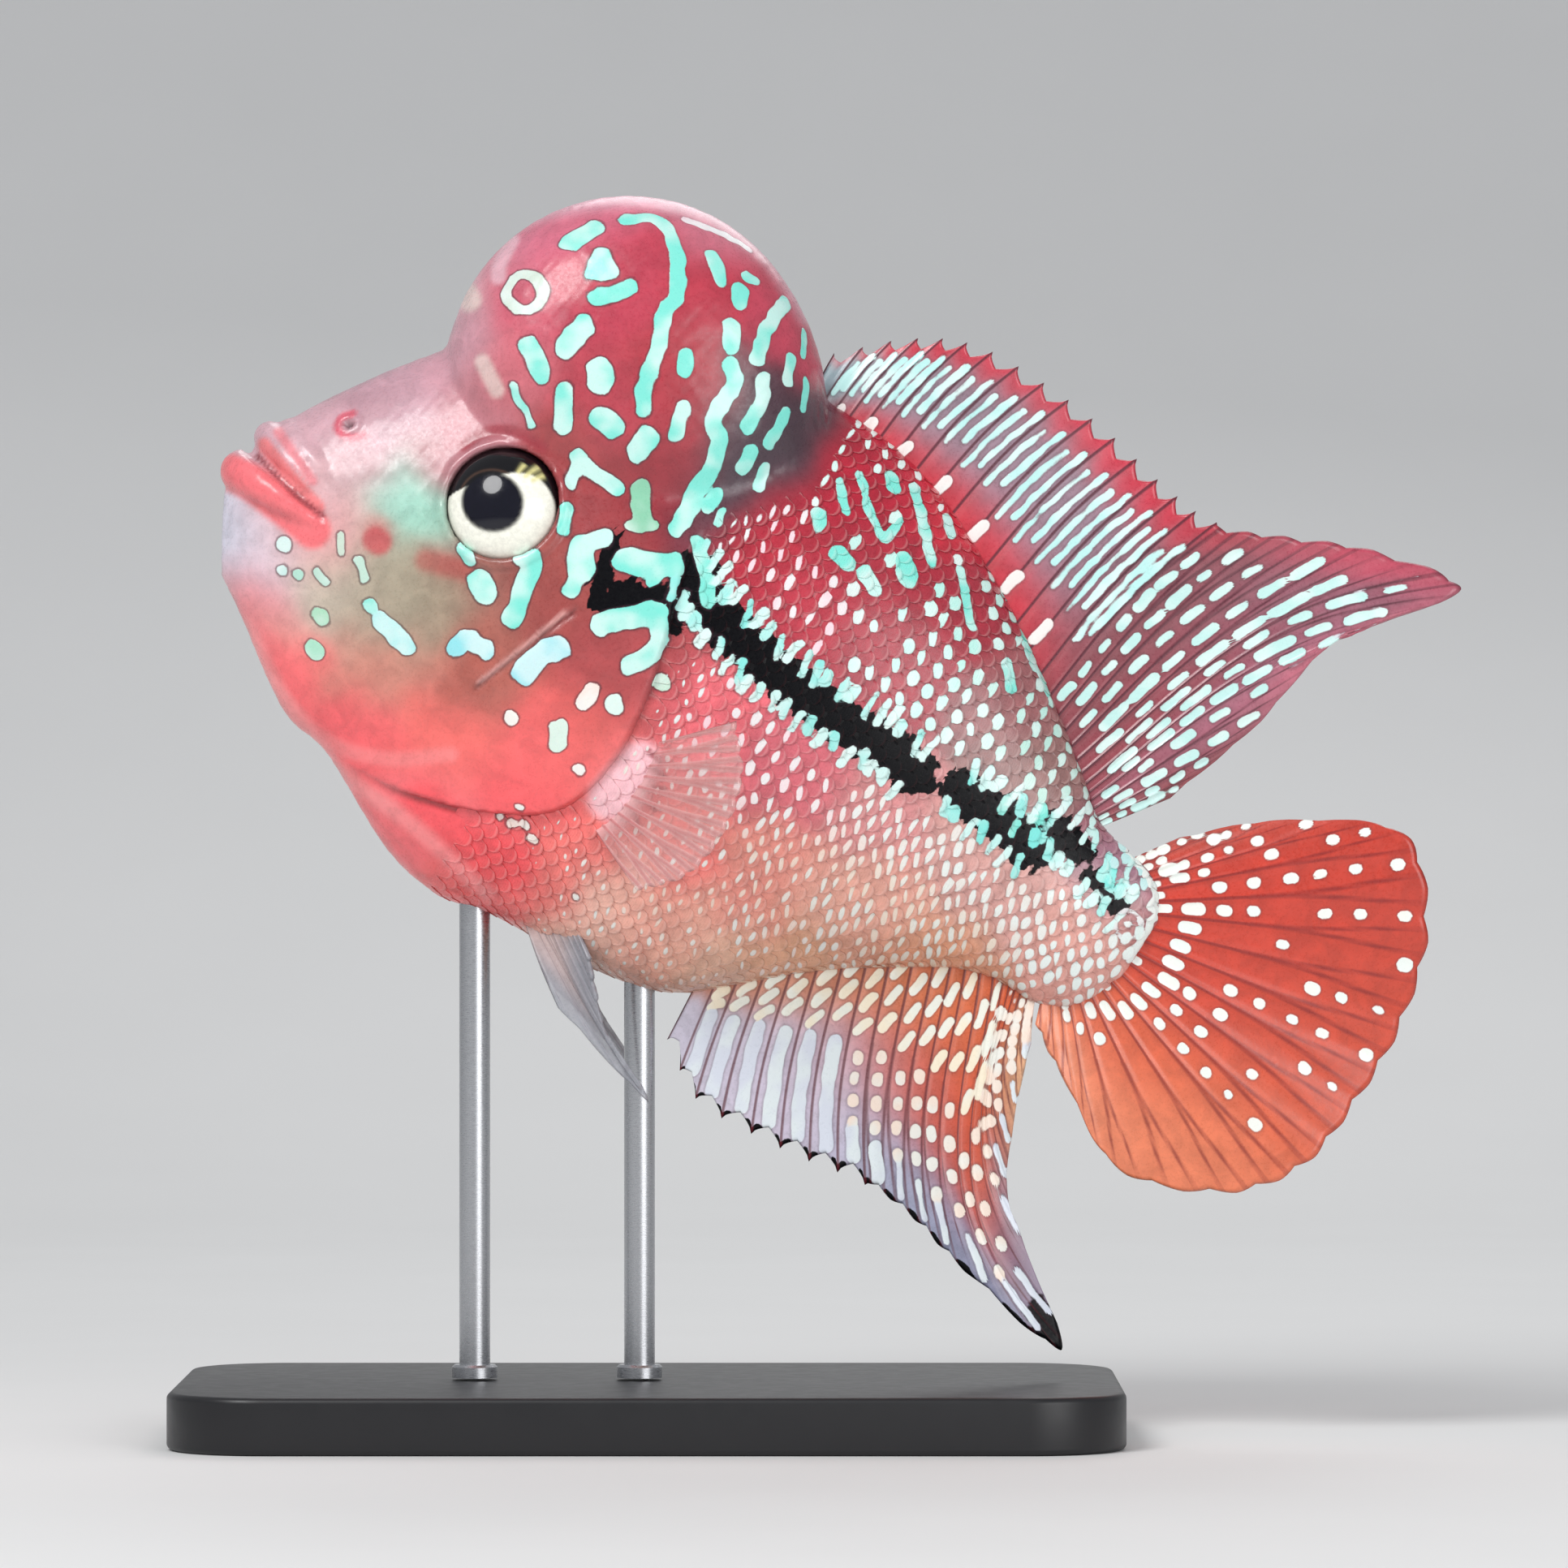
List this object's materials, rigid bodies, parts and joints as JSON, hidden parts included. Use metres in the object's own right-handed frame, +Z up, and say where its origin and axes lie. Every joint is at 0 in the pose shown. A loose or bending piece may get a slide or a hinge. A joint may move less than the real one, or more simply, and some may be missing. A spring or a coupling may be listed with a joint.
{
  "type": "flowerhorn cichlid",
  "caption": "Life-size flowerhorn cichlid with a tall nuchal hump and trailing fins, held head up above a flat base on thin rods.",
  "frame": {"origin": "centre of the underside of the stand's base", "axes": "+Z up, -X towards the fish's head, -Y towards the fish's left side"},
  "size_m": [0.1579, 0.066, 0.1528],
  "materials": {
    "head_skin": "pale pink snout shading to mottled red and grey-green, glossy",
    "hump_skin": "crimson with crisp pale aqua marks, glossy",
    "cheek_skin": "mottled grey-green, red and coral with aqua marks, glossy",
    "body_skin": "crimson back with aqua spots, black band along the side, pale coral belly, scaled",
    "dorsal_fin": "crimson membrane with aqua streaks and spots",
    "anal_fin": "lavender-grey in front, orange with pale spots behind, dark edge",
    "caudal_fin": "brick red with pale round spots above, orange below",
    "pectoral_fin": "clear membrane on a pale pink fleshy base",
    "pelvic_fin": "grey-white streaks with a dark tip",
    "eye": "cream-white iris with a black pupil, glossy",
    "stand_board": "satin black",
    "stand_steel": "brushed"
  },
  "bodies": {
    "root": {"head": "head_skin", "hump": "hump_skin", "jaw_lower": "cheek_skin", "gill_cover_left": "cheek_skin", "gill_cover_right": "cheek_skin", "torso": "body_skin", "tail_stem": "body_skin", "dorsal_fin": "dorsal_fin", "anal_fin": "anal_fin", "caudal_fin": "caudal_fin", "pectoral_fin_left": "pectoral_fin", "pectoral_fin_right": "pectoral_fin", "pelvic_fin_left": "pelvic_fin", "pelvic_fin_right": "pelvic_fin", "eye_left": "eye", "eye_right": "eye", "stand_base": "stand_board", "stand_rod_front": "stand_steel", "stand_rod_rear": "stand_steel"}
  },
  "joints": []
}
